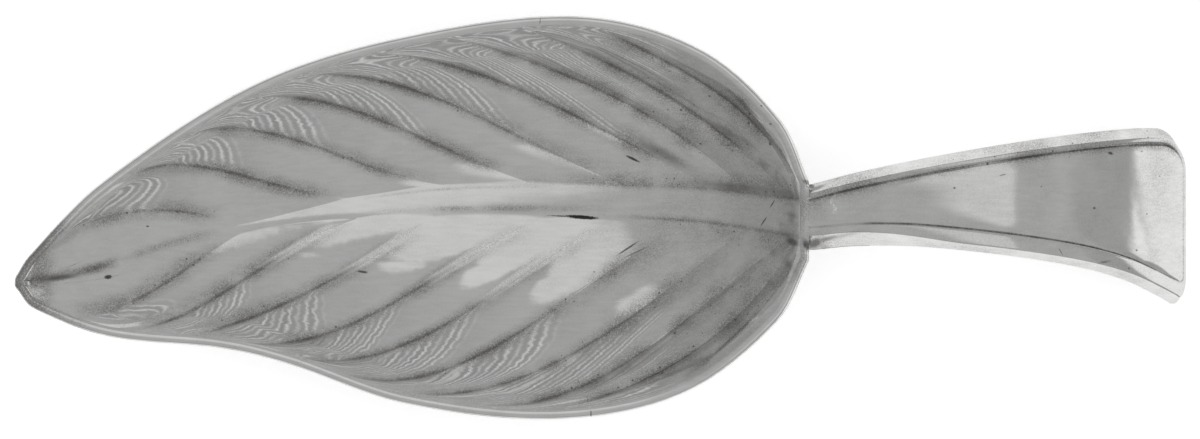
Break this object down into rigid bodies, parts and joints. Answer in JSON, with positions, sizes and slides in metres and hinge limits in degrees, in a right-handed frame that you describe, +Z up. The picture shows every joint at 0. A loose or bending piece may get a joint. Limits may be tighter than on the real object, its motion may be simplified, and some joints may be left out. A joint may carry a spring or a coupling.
{
  "type": "tea caddy spoon",
  "caption": "Leaf-shaped scoop bowl with a raised midrib and swept veined lobes, soldered to a short flared handle that has a sunk panel and a bevelled border and bends down at its end.",
  "frame": {"origin": "below the middle of the spoon's box, on the surface it lies on", "axes": "+X from the tip of the leaf to the end of the handle, +Y to the left of someone who holds it, +Z up out of the bowl"},
  "size_m": [0.09, 0.031, 0.0086],
  "materials": {
    "leaf_bowl": "pressed silver sheet, polished, with tarnish in its grooves",
    "handle": "polished silver, with tarnish in its grooves"
  },
  "bodies": {
    "root": {"leaf_bowl": "leaf_bowl", "handle": "handle"}
  },
  "joints": []
}
